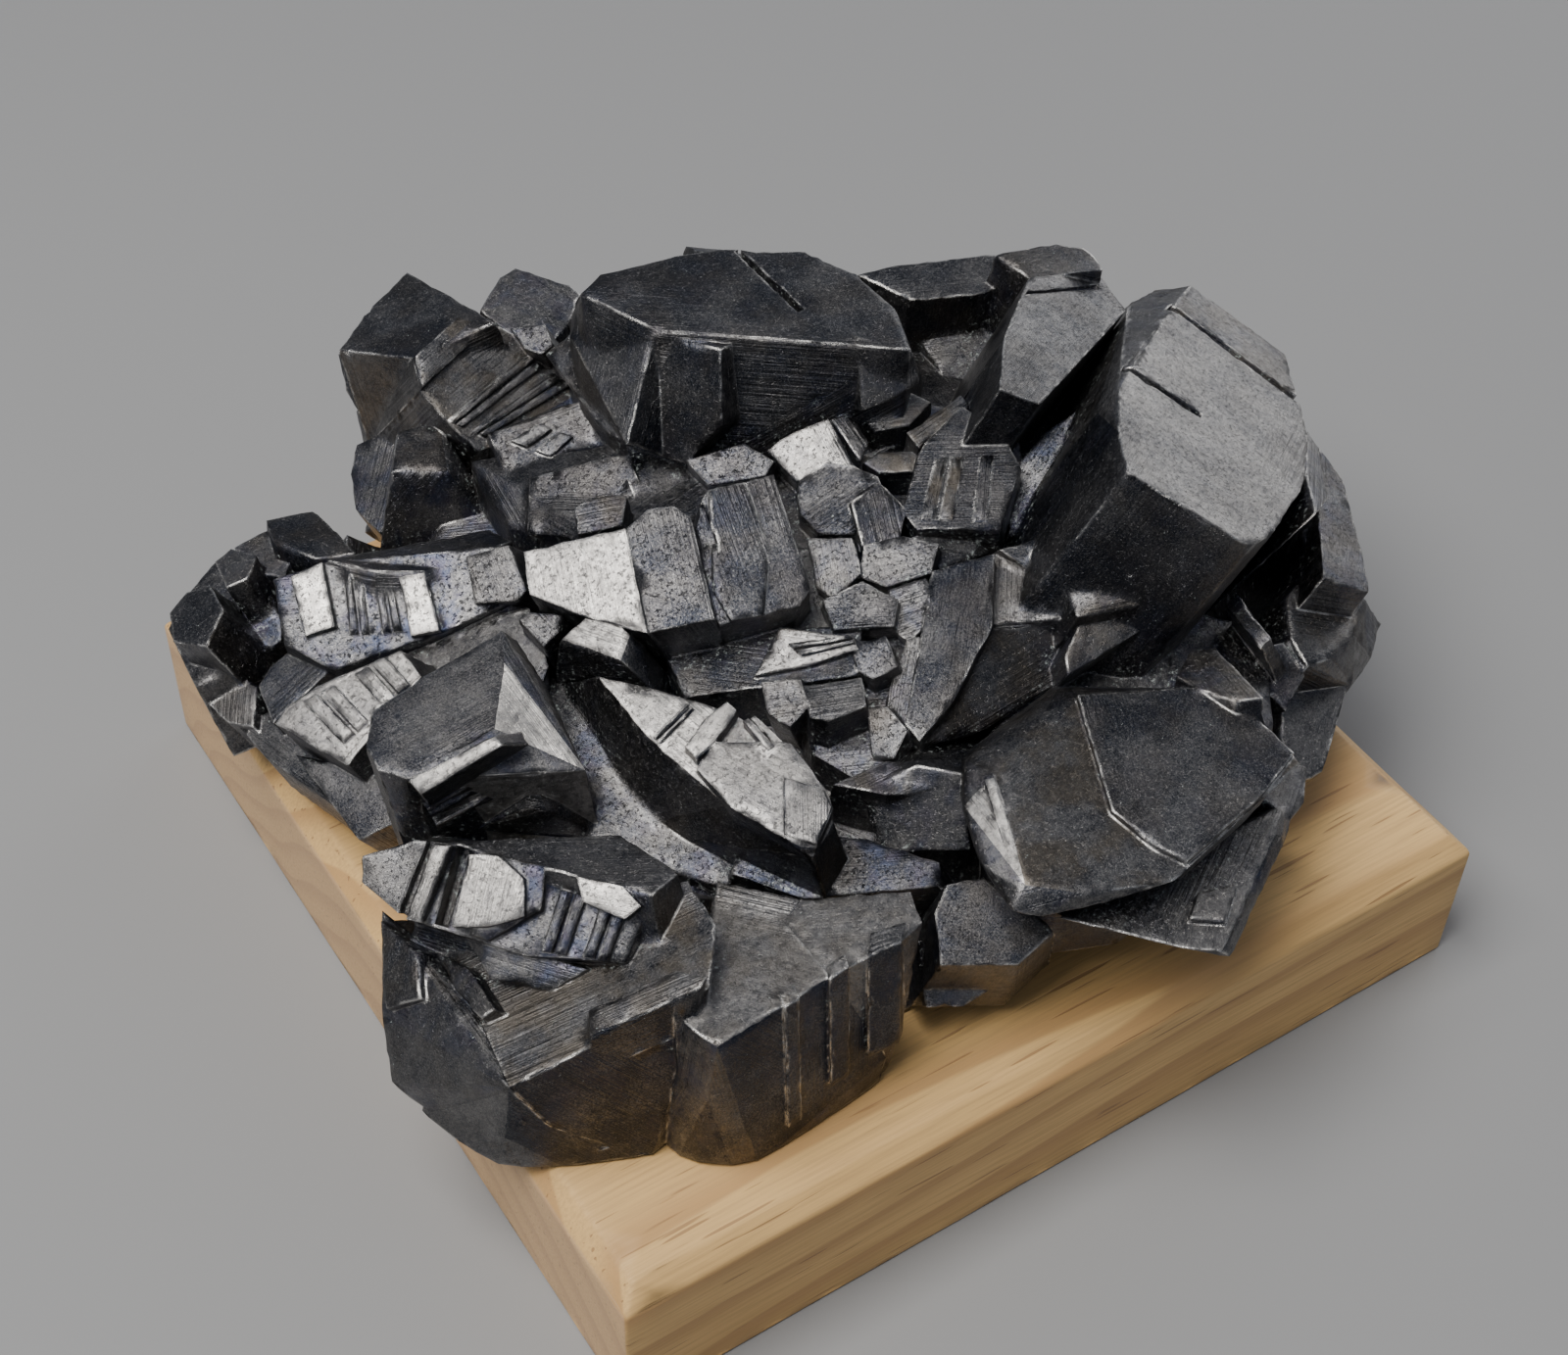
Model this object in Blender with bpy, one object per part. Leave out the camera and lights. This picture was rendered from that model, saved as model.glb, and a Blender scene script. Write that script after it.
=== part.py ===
"""A bournonite specimen, dark steel-grey crystals grown together, on a square block of pine.

The block is centred on X and Y with its underside at Z = 0. Sizes are in millimetres, and
MM turns them into Blender's metres.

Each crystal is a convex solid. Its crown, the face that shows, is an outline in pixels of the
1600 x 1383 photograph. A crown lies in a plane with a real height and a real lean, and the
sight line through each pixel meets that plane in the crystal's corner.
"""

import math

import bmesh
import bpy
from mathutils import Vector

MM = 0.001

# The pine block
BLOCK_SIDE = 100.0
BLOCK_HEIGHT = 18.0
BLOCK_CHAMFER = 2.0

# The specimen lies on the block with a hair's breadth between them
REST_GAP = 0.3
UNDERSIDE = BLOCK_HEIGHT + REST_GAP

# The photograph's viewpoint, in the block's axes
IMAGE_CENTRE = (800.0, 691.5)
FOCAL_LENGTH = 2562.57
EYE = Vector((-101.38, -147.41, 212.15))
VIEW_YAW = math.radians(-34.097)
VIEW_PITCH = math.radians(46.351)
VIEW_ROLL = math.radians(1.784)

LEVEL_AHEAD = Vector((-math.sin(VIEW_YAW), math.cos(VIEW_YAW), 0.0))
AHEAD = LEVEL_AHEAD * math.cos(VIEW_PITCH) - Vector((0.0, 0.0, math.sin(VIEW_PITCH)))
LEVEL_RIGHT = Vector((math.cos(VIEW_YAW), math.sin(VIEW_YAW), 0.0))
LEVEL_UP = LEVEL_RIGHT.cross(AHEAD)
RIGHT = LEVEL_RIGHT * math.cos(VIEW_ROLL) + LEVEL_UP * math.sin(VIEW_ROLL)
UP = LEVEL_UP * math.cos(VIEW_ROLL) - LEVEL_RIGHT * math.sin(VIEW_ROLL)

# The long axis of the front crystals leans a little to the right
FRONT_AXIS = (90, 6)

# The ridges on their near faces run straight down those faces
RIDGE_AXIS = (219, 4)

# A plate that overhangs grows away from the viewer, so its underside doesn't show
UNDERCUT = (0, 46)

# A crystal's foot is this much wider than its crown unless its call says otherwise
FOOT_SPREAD = 1.25

# A raised step is a little smaller than its outline. It reaches this far into its crystal,
# and a cutter this far out of it
TERRACE_SHARE = 0.985
TERRACE_ROOT = 3.0
CUTTER_REACH = 3.0

# How deep a filling goes, and the share of their pitch by which ribs wander
FILLING_DEPTH = 12.0
RIB_WANDER = 0.2


def sight_line(pixel):
    across = (pixel[0] - IMAGE_CENTRE[0]) / FOCAL_LENGTH
    down = (pixel[1] - IMAGE_CENTRE[1]) / FOCAL_LENGTH
    return AHEAD + RIGHT * across - UP * down


def at_height(pixel, height):
    """The point at this height on the sight line through a pixel."""
    line = sight_line(pixel)
    return EYE + line * ((height - EYE.z) / line.z)


def leaning(lean):
    """The unit normal of a face. lean is (side, tilt) in degrees: side 0 leans to the viewer,
    90 to the right, 180 away and 270 to the left, and tilt is measured from level."""
    side, tilt = math.radians(lean[0]), math.radians(lean[1])
    level = LEVEL_RIGHT * math.sin(side) - LEVEL_AHEAD * math.cos(side)
    return level * math.sin(tilt) + Vector((0.0, 0.0, math.cos(tilt)))


def on_plane(pixels, point, normal):
    """The points where the sight lines through these pixels meet a plane."""
    found = []
    for pixel in pixels:
        line = sight_line(pixel)
        found.append(EYE + line * ((point - EYE).dot(normal) / line.dot(normal)))
    return found


def solid(name, points):
    """A helper object: the convex solid round the points."""
    mesh = bmesh.new()
    corners = [mesh.verts.new(point * MM) for point in points]
    hull = bmesh.ops.convex_hull(mesh, input=corners)
    loose = set(hull["geom_interior"]) | set(hull["geom_unused"])
    spare = [item for item in loose if isinstance(item, bmesh.types.BMVert)]
    bmesh.ops.delete(mesh, geom=spare, context="VERTS")
    bmesh.ops.recalc_face_normals(mesh, faces=mesh.faces)
    data = bpy.data.meshes.new(name)
    mesh.to_mesh(data)
    mesh.free()
    helper = bpy.data.objects.new(name, data)
    helper.hide_render = True
    helper.display_type = "WIRE"
    CRYSTALS.objects.link(helper)
    return helper


def crystal(name, crown, height, lean, depth, skirt=(), drop=0.0, extra=(), spread=FOOT_SPREAD,
            grow=None):
    """A crystal below its crown. height is that of the crown's first corner. The skirt's pixels
    lie in a plane that is drop below the crown, and give it its bevels. extra holds further
    corners, each a pixel and a height. grow is the lean of its long axis, where that isn't
    square to the crown. It returns the crown's plane, a point and the normal."""
    normal = leaning(lean)
    axis = leaning(grow or lean)
    first = at_height(crown[0], height)
    rim = on_plane(crown, first, normal) + on_plane(skirt, first - normal * drop, normal)
    rim += [at_height((across, down), level) for across, down, level in extra]
    centre = sum(rim, Vector()) / len(rim)
    foot = [centre + (corner - centre) * spread - axis * depth for corner in rim]
    solid(name, rim + foot)
    return first, normal


def slab(name, plane, outline, top, bottom):
    """The solid between two heights above a crown, over an outline of pixels on that crown."""
    point, normal = plane
    corners = on_plane(outline, point, normal)
    return solid(name, [corner + normal * level for corner in corners for level in (top, bottom)])


def terrace(name, plane, outline, rise):
    """A raised step on a crown."""
    corners = [Vector(pixel) for pixel in outline]
    middle = sum(corners, Vector((0.0, 0.0))) / len(corners)
    inner = [middle + (corner - middle) * TERRACE_SHARE for corner in corners]
    slab(name, plane, inner, rise, rise - TERRACE_ROOT)


def ribs(name, plane, rails, count, rise, fill):
    """Parallel growth ridges on a crown. rails are the first and last corners of the ridges'
    near ends, then of their far ends. fill is the share of each pitch that a ridge takes."""
    near = [Vector(rails[0]), Vector(rails[1])]
    far = [Vector(rails[2]), Vector(rails[3])]
    for index in range(count):
        begin = (index + RIB_WANDER * (1 + math.sin(3.1 * index + 1))) / count
        end = min(begin + fill / count, 1)
        outline = [near[0].lerp(near[1], begin), near[0].lerp(near[1], end),
                   far[0].lerp(far[1], end), far[0].lerp(far[1], begin)]
        terrace(f"{name}_{index}", plane, outline, rise * (0.8 + 0.2 * math.sin(5.3 * index)))


def groove(name, plane, outline, depth):
    """A cut into a crown."""
    cutter = slab(name, plane, outline, CUTTER_REACH, -depth)
    CRYSTALS.objects.unlink(cutter)
    GROOVES.objects.link(cutter)


def placed(name, middle, facing, width, length, depth):
    """A six-sided tabular crystal at a place in millimetres. facing is the azimuth and the tilt
    from level of its flat end, in degrees."""
    azimuth, tilt = math.radians(facing[0]), math.radians(facing[1])
    level = Vector((math.cos(azimuth), math.sin(azimuth), 0.0))
    normal = level * math.sin(tilt) + Vector((0.0, 0.0, math.cos(tilt)))
    side = Vector((-math.sin(azimuth), math.cos(azimuth), 0.0))
    rise = normal.cross(side)
    corners = []
    for across, along in ((-0.5, -0.3), (-0.3, 0.5), (0.35, 0.5), (0.5, 0.2), (0.4, -0.5), (-0.3, -0.5)):
        spot = Vector(middle) + side * (across * width) + rise * (along * length)
        corners += [spot, spot - normal * depth]
    solid(name, corners)


def lump(name, corners):
    """A piece of the mass that carries the crystals, from corners in millimetres."""
    solid(name, [Vector(corner) for corner in corners])


def filling(name, corners):
    """A piece of the mass that rises between the crystals, so that they meet in shallow
    crevices. Each corner is a pixel and a height."""
    top = [at_height((across, down), level) for across, down, level in corners]
    solid(name, top + [corner - Vector((0.0, 0.0, FILLING_DEPTH)) for corner in top])


def plug(name, low, high):
    """A small box, in millimetres, that fills a hollow the crystals would shut in."""
    solid(name, [Vector((across, along, up)) for across in (low[0], high[0])
                 for along in (low[1], high[1]) for up in (low[2], high[2])])


def back_row():
    prism = crystal("big_prism",
                    crown=[(1216, 291), (1312, 361), (1327, 414), (1335, 450), (1330, 496),
                           (1299, 545), (1279, 557), (1262, 550), (1151, 482), (1141, 440),
                           (1141, 396), (1163, 370), (1191, 323)],
                    height=45, lean=(106, 30), depth=26, spread=1.0,
                    skirt=[(1178, 296), (1151, 310), (1119, 421)], drop=3.0)
    groove("big_prism_groove_long", prism, [(1193, 313), (1197, 310), (1330, 408), (1328, 414)], 0.8)
    groove("big_prism_groove_short", prism, [(1146, 374), (1150, 370), (1227, 421), (1225, 426)], 0.8)
    crystal("right_sliver",
            crown=[(1335, 440), (1346, 457), (1356, 509), (1343, 525), (1333, 485)],
            height=42, lean=(100, 40), depth=16)
    right = crystal("back_right_prism",
                    crown=[(1050, 283), (1118, 274), (1150, 316), (1100, 371), (1062, 412),
                           (1020, 397), (1024, 345), (1041, 303)],
                    height=53, lean=(96, 24), depth=30, spread=1.0)
    groove("back_right_groove", right, [(1046, 300), (1049, 297), (1120, 290), (1121, 294)], 0.5)
    crystal("back_wall",
            crown=[(875, 280), (911, 271), (925, 275), (980, 268), (1015, 259), (1040, 285),
                   (1000, 300), (930, 306)],
            height=49, lean=(30, 8), depth=26)
    crystal("back_wall_high",
            crown=[(1015, 259), (1078, 248), (1106, 253), (1119, 262), (1125, 276), (1050, 284)],
            height=52, lean=(60, 6), depth=26)
    crystal("back_wall_low",
            crown=[(925, 300), (1000, 290), (1024, 345), (1020, 397), (975, 402), (940, 350)],
            height=45, lean=(10, 34), depth=18)
    broad = crystal("broad_block",
                    crown=[(742, 254), (752, 260), (822, 257), (874, 280), (914, 315), (930, 357),
                           (847, 345), (742, 337), (670, 337), (593, 299), (613, 280),
                           (700, 259)],
                    height=57, lean=(150, 4), depth=30, spread=1.0,
                    extra=[(641, 457, 45), (690, 487, 43), (737, 472, 43.5), (780, 457, 45), (845, 423, 46),
                           (907, 412, 45), (942, 390, 46), (581, 330, 50)])
    groove("broad_block_crack", broad, [(750, 256), (755, 254), (820, 314), (814, 318)], 1.2)
    crystal("broad_block_corner",
            crown=[(592, 301), (611, 282), (667, 341), (658, 374), (643, 415), (639, 454),
                   (624, 415), (600, 380), (582, 345)],
            height=55, lean=(303, 52), depth=14, spread=1.05)
    crystal("broad_block_facet",
            crown=[(672, 340), (736, 356), (737, 436), (700, 474), (645, 459), (650, 417),
                   (663, 373)],
            height=57.3, lean=(333, 66), depth=9, spread=1.05)
    crystal("broad_block_step",
            crown=[(874, 344), (930, 358), (940, 390), (907, 411), (880, 420)],
            height=58, lean=(20, 60), depth=10)


def left_back():
    crystal("left_roof",
            crown=[(415, 277), (455, 299), (480, 316), (506, 328), (465, 326), (421, 366),
                   (403, 360), (381, 346), (345, 358), (375, 317)],
            height=46, lean=(270, 14), depth=24)
    front = crystal("left_roof_front",
                    crown=[(465, 326), (506, 330), (554, 360), (601, 408), (580, 411), (510, 454),
                           (487, 460), (453, 429), (429, 399), (421, 366)],
                    height=48, lean=(40, 34), depth=18)
    ribs("left_roof_rib", front, [(453, 429), (510, 454), (533, 358), (601, 408)], 5, 0.7, 0.55)
    terrace("left_roof_band", front, [(421, 366), (465, 326), (496, 336), (429, 399)], 0.8)
    crystal("left_roof_end",
            crown=[(357, 357), (381, 346), (403, 360), (417, 368), (428, 399), (417, 413),
                   (393, 399), (366, 377)],
            height=41, lean=(320, 50), depth=16)
    crystal("left_roof_foot",
            crown=[(344, 361), (357, 357), (366, 377), (417, 413), (450, 437), (399, 478),
                   (374, 438), (353, 400)],
            height=37, lean=(310, 56), depth=14)
    crystal("left_notch",
            crown=[(363, 454), (399, 440), (410, 500), (388, 545), (362, 520), (357, 485)],
            height=33, lean=(300, 26), depth=12)
    crystal("behind_left",
            crown=[(526, 273), (580, 291), (593, 299), (581, 330), (554, 360), (538, 355),
                   (506, 328), (489, 316), (509, 283)],
            height=45, lean=(10, 8), depth=26)
    crystal("behind_left_low",
            crown=[(520, 335), (556, 330), (565, 352), (553, 362), (535, 356)],
            height=47, lean=(340, 30), depth=16)
    crystal("left_strip",
            crown=[(556, 361), (581, 340), (600, 381), (640, 457), (611, 436)],
            height=46, lean=(310, 30), depth=20)
    dark = crystal("stepped_dark",
                   crown=[(580, 411), (602, 410), (605, 440), (639, 460), (620, 497), (520, 495),
                          (497, 442), (533, 429)],
                   height=44, lean=(0, 24), depth=18)
    ribs("stepped_dark_rib", dark, [(508, 447), (617, 489), (538, 431), (634, 463)], 3, 0.8, 0.45)
    crystal("left_block",
            crown=[(404, 440), (434, 433), (450, 438), (457, 481), (400, 481)],
            height=41, lean=(10, 8), depth=18,
            extra=[(387, 561, 31), (454, 544, 32), (500, 537, 33), (482, 486, 38)])


def left_lobe():
    crystal("left_edge",
            crown=[(221, 571), (252, 560), (252, 578), (234, 617), (227, 651), (234, 686),
                   (199, 701), (171, 642), (180, 619), (207, 601)],
            height=32, lean=(290, 20), depth=9)
    crystal("left_edge_inner",
            crown=[(252, 578), (268, 580), (287, 635), (287, 654), (236, 686), (227, 651)],
            height=34, lean=(320, 34), depth=14)
    crystal("left_edge_jag_one",
            crown=[(172, 625), (190, 604), (214, 596), (228, 622), (210, 660), (176, 655)],
            height=33, lean=(280, 28), depth=9)
    crystal("left_edge_jag_two",
            crown=[(200, 690), (236, 684), (262, 700), (258, 742), (232, 738), (206, 712)],
            height=28, lean=(300, 30), depth=7)
    crystal("left_edge_jag_three",
            crown=[(219, 573), (236, 560), (262, 566), (252, 590), (230, 600)],
            height=35, lean=(260, 24), depth=9, spread=1.05)
    crystal("left_upper",
            crown=[(271, 531), (319, 520), (345, 543), (363, 565), (321, 570), (280, 555)],
            height=37, lean=(200, 8), depth=16)
    crystal("left_upper_edge",
            crown=[(238, 559), (271, 541), (300, 560), (290, 592), (250, 580)],
            height=35, lean=(300, 14), depth=12)
    wall = crystal("striated_left",
                   crown=[(331, 573), (381, 582), (435, 583), (475, 570), (521, 556), (540, 605),
                          (441, 650), (340, 685), (289, 658), (278, 591)],
                   height=42, lean=(350, 34), depth=18)
    terrace("striated_left_column_one", wall, [(298, 589), (331, 574), (345, 642), (313, 652)], 0.9)
    ribs("striated_left_rib", wall, [(345, 578), (406, 586), (352, 650), (418, 645)], 4, 0.5, 0.5)
    terrace("striated_left_column_two", wall, [(408, 587), (435, 583), (451, 646), (421, 652)], 0.9)
    terrace("striated_left_column_three", wall,
            [(476, 570), (521, 556), (540, 605), (528, 616), (486, 618)], 0.7)
    crystal("striated_left_back",
            crown=[(334, 571), (388, 561), (418, 558), (500, 540), (523, 552), (438, 584),
                   (383, 583)],
            height=42.3, lean=(180, 18), depth=16)
    crystal("left_small",
            crown=[(275, 679), (298, 663), (335, 686), (321, 700), (278, 739), (263, 700)],
            height=33, lean=(310, 28), depth=12)
    comb = crystal("left_comb",
                   crown=[(409, 663), (430, 690), (377, 728), (354, 782), (280, 739), (291, 721),
                          (321, 700), (368, 686)],
                   height=42, lean=(325, 30), depth=16)
    ribs("left_comb_rib", comb, [(300, 722), (405, 665), (345, 768), (428, 692)], 4, 0.6, 0.55)
    crystal("left_tabular",
            crown=[(512, 643), (515, 676), (505, 743), (412, 794), (386, 786), (372, 762),
                   (379, 726), (432, 690)],
            height=47, lean=(330, 9), depth=20, spread=1.0,
            skirt=[(429, 812), (514, 762), (558, 772), (598, 786), (558, 699), (528, 653)],
            drop=3.2)
    crystal("left_tabular_strip",
            crown=[(416, 796), (505, 749), (512, 761), (429, 812)],
            height=44.8, lean=(335, 40), depth=4)
    crystal("left_tabular_front",
            crown=[(429, 814), (512, 764), (535, 772), (540, 786)],
            height=41.5, lean=(335, 9), depth=10, spread=1.0,
            extra=[(487, 847, 35), (450, 847, 35.5), (428, 832, 38)])
    wall = (at_height((429, 814), 41.5), leaning((22, 82)))
    ribs("left_tabular_rib", wall, [(430, 818), (446, 846), (520, 772), (528, 800)], 3, 0.7, 0.5)
    crystal("left_pyramid",
            crown=[(540, 786), (560, 829), (535, 825)],
            height=41, lean=(10, 40), depth=6,
            extra=[(487, 847, 35), (628, 859, 31), (603, 800, 36), (450, 846, 33)])
    crystal("left_low",
            crown=[(243, 741), (290, 720), (350, 790), (353, 831), (308, 781), (271, 773)],
            height=28, lean=(310, 24), depth=8)
    crystal("left_low_front",
            crown=[(300, 770), (354, 782), (420, 800), (400, 842), (366, 858), (353, 831),
                   (319, 795)],
            height=31, lean=(320, 36), depth=9)


def middle():
    left = crystal("middle_left_cap",
                   crown=[(660, 519), (689, 516), (705, 527), (712, 557), (700, 586), (730, 632),
                          (660, 646), (639, 538)],
                   height=51, lean=(350, 26), depth=20)
    groove("middle_left_nick", left, [(706, 520), (716, 508), (729, 549), (716, 557)], 1.5)
    right = crystal("middle_right_cap",
                    crown=[(716, 508), (722, 500), (790, 484), (802, 530), (828, 600), (816, 619),
                           (735, 638), (703, 586), (728, 549)],
                    height=51, lean=(10, 26), depth=20)
    terrace("middle_right_step", right, [(722, 500), (760, 492), (785, 560), (780, 630), (745, 636),
                                         (727, 605), (730, 551)], 0.5)
    crystal("middle_bright",
            crown=[(592, 551), (638, 538), (661, 646), (614, 622), (579, 624), (540, 607),
                   (533, 562)],
            height=49, lean=(335, 28), depth=18)
    crystal("middle_pyramid",
            crown=[(541, 624), (573, 627), (571, 646), (555, 661), (528, 632)],
            height=44, lean=(340, 24), depth=12,
            extra=[(600, 655, 38)])
    crystal("bar_head",
            crown=[(611, 620), (643, 648), (633, 674), (571, 652)],
            height=46, lean=(320, 24), depth=16,
            extra=[(665, 705, 41), (565, 692, 38), (657, 659, 44)])
    bar = crystal("long_bar",
                  crown=[(660, 700), (700, 716), (740, 724), (810, 766), (852, 840), (829, 875),
                         (741, 822), (660, 752), (610, 690)],
                  height=43, lean=(345, 14), depth=20,
                  extra=[(744, 889, 31), (635, 848, 30), (565, 700, 36)])
    ribs("long_bar_rib", bar, [(664, 752), (676, 764), (700, 718), (712, 726)], 2, 0.8, 0.5)
    terrace("long_bar_ring", bar, [(743, 722), (755, 731), (736, 758), (712, 782), (699, 769),
                                   (709, 756), (718, 741)], 1.3)
    terrace("long_bar_bright", bar, [(730, 762), (781, 777), (809, 762), (846, 812), (852, 831),
                                     (834, 872), (818, 872), (746, 831), (709, 789)], 1.1)
    ribs("long_bar_block", bar, [(755, 744), (774, 733), (780, 776), (804, 760)], 2, 1.6, 0.6)
    terrace("long_bar_end", bar, [(800, 800), (842, 812), (850, 831), (834, 870), (800, 858)], 1.5)
    crystal("pocket_floor",
            crown=[(680, 672), (790, 640), (880, 640), (875, 690), (770, 690), (700, 712)],
            height=40, lean=(330, 14), depth=14)
    step = crystal("centre_step",
                   crown=[(795, 640), (872, 650), (876, 662), (826, 679), (770, 690), (790, 668)],
                   height=43, lean=(340, 22), depth=12)
    ribs("centre_step_rib", step, [(800, 655), (822, 676), (868, 648), (875, 660)], 2, 0.7, 0.5)
    crystal("centre_knob",
            crown=[(820, 700), (880, 690), (885, 720), (845, 737), (826, 732)],
            height=42, lean=(340, 10), depth=12,
            extra=[(850, 770, 35)])
    crystal("centre_low",
            crown=[(850, 800), (905, 775), (980, 780), (990, 800), (905, 812), (882, 808)],
            height=39, lean=(0, 12), depth=12)
    crystal("centre_low_face",
            crown=[(882, 806), (935, 780), (985, 790), (990, 868), (905, 872), (886, 840)],
            height=38, lean=(350, 56), depth=12)
    crystal("valley_floor",
            crown=[(760, 850), (830, 878), (885, 855), (960, 880), (960, 905), (820, 918),
                   (745, 892)],
            height=35, lean=(350, 20), depth=12)
    crystal("valley_left",
            crown=[(540, 488), (600, 470), (640, 462), (652, 492), (600, 512), (560, 545),
                   (538, 545)],
            height=42, lean=(330, 30), depth=14)
    crystal("valley_left_slope",
            crown=[(640, 462), (712, 452), (722, 486), (690, 512), (650, 514), (640, 490)],
            height=45, lean=(10, 20), depth=14)
    crystal("valley_left_knob",
            crown=[(585, 518), (612, 503), (640, 505), (636, 536), (590, 545)],
            height=46, lean=(340, 16), depth=12)
    crystal("valley_back",
            crown=[(700, 470), (760, 452), (790, 470), (782, 486), (722, 496)],
            height=47, lean=(350, 34), depth=12)
    crystal("centre_striated",
            crown=[(797, 447), (820, 437), (845, 427), (870, 474), (845, 470), (812, 492),
                   (782, 460)],
            height=49, lean=(350, 32), depth=16)
    crystal("centre_half_round",
            crown=[(848, 427), (860, 423), (872, 426), (887, 452), (879, 471)],
            height=50, lean=(40, 22), depth=14)
    crystal("centre_bar",
            crown=[(882, 427), (900, 412), (930, 400), (951, 410), (927, 435), (892, 440)],
            height=49, lean=(0, 18), depth=14)
    crystal("centre_hexagon",
            crown=[(895, 461), (930, 460), (937, 466), (936, 481), (897, 483), (880, 472)],
            height=48, lean=(0, 16), depth=12)
    crystal("centre_wedge",
            crown=[(812, 492), (845, 470), (880, 477), (897, 486), (905, 520), (880, 545),
                   (835, 545), (815, 525)],
            height=47, lean=(340, 22), depth=14)
    crystal("centre_wedge_low",
            crown=[(822, 548), (870, 548), (880, 585), (850, 612), (832, 600)],
            height=45.5, lean=(330, 30), depth=12)
    crystal("centre_shard",
            crown=[(868, 512), (898, 492), (925, 520), (918, 552), (880, 560)],
            height=47.5, lean=(20, 26), depth=12)
    crystal("centre_shard_right",
            crown=[(880, 556), (922, 546), (958, 555), (950, 585), (905, 600), (878, 590)],
            height=46, lean=(350, 30), depth=12)
    crystal("centre_shard_far",
            crown=[(930, 548), (985, 545), (1010, 562), (962, 584)],
            height=45, lean=(30, 24), depth=12)
    crystal("centre_shard_low",
            crown=[(838, 612), (880, 592), (917, 612), (912, 640), (850, 644)],
            height=44.5, lean=(350, 30), depth=12)
    crystal("centre_shard_foot",
            crown=[(905, 602), (945, 588), (952, 630), (928, 655), (912, 645)],
            height=44, lean=(320, 30), depth=12)
    crystal("centre_chip_one",
            crown=[(868, 655), (905, 648), (918, 680), (890, 694), (874, 684)],
            height=43, lean=(340, 24), depth=12)
    crystal("centre_chip_two",
            crown=[(885, 722), (905, 720), (925, 745), (912, 775), (888, 772)],
            height=40.5, lean=(320, 36), depth=12)
    crystal("centre_chip_three",
            crown=[(776, 696), (816, 690), (826, 720), (806, 744), (782, 730)],
            height=42, lean=(340, 30), depth=12)
    plate = crystal("mid_plate",
                    crown=[(982, 414), (1021, 443), (1043, 475), (1034, 495), (1021, 539),
                           (936, 541), (921, 521), (938, 458)],
                    height=50, lean=(0, 16), depth=18)
    ribs("mid_plate_rib", plate, [(947, 468), (1016, 464), (930, 530), (1010, 534)], 3, 0.3, 0.55)
    crystal("mid_plate_edge",
            crown=[(986, 412), (1013, 414), (1038, 440), (1045, 470), (1036, 492), (1021, 443)],
            height=49, lean=(40, 34), depth=12)
    crystal("mid_plate_bar",
            crown=[(980, 402), (990, 414), (938, 457), (925, 441)],
            height=50, lean=(0, 16), depth=12)
    crystal("mid_plate_low",
            crown=[(1040, 470), (1066, 440), (1098, 420), (1075, 480), (1050, 545), (1028, 548)],
            height=46, lean=(330, 30), depth=14)
    crystal("ridge_block",
            crown=[(950, 582), (1015, 564), (1013, 639), (970, 719), (938, 757), (923, 740),
                   (943, 700), (943, 650)],
            height=45.5, lean=(340, 16), depth=18, spread=1.05)
    crystal("ridge_block_right",
            crown=[(1014, 563), (1078, 566), (1091, 631), (1012, 638)],
            height=44.8, lean=(350, 14), depth=16, spread=1.05)
    crystal("ridge_block_top",
            crown=[(1020, 560), (1098, 540), (1130, 572), (1092, 600), (1060, 590)],
            height=46, lean=(20, 30), depth=12)
    crystal("ridge_block_side",
            crown=[(926, 650), (942, 650), (943, 722), (923, 740), (902, 718)],
            height=42.5, lean=(320, 26), depth=12)
    crystal("ridge_block_rough",
            crown=[(1011, 642), (1091, 634), (1088, 660), (1079, 699), (1000, 748), (940, 762),
                   (969, 722)],
            height=43.6, lean=(40, 44), depth=12)
    crystal("small_cap",
            crown=[(1130, 588), (1159, 576), (1195, 597), (1167, 616), (1141, 598)],
            height=47, lean=(50, 18), depth=14,
            skirt=[(1078, 567), (1146, 571), (1099, 630)], drop=1.5)
    crystal("small_cap_low",
            crown=[(1104, 632), (1130, 612), (1166, 618), (1170, 640), (1090, 690), (1085, 670)],
            height=44, lean=(20, 30), depth=12)


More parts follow.
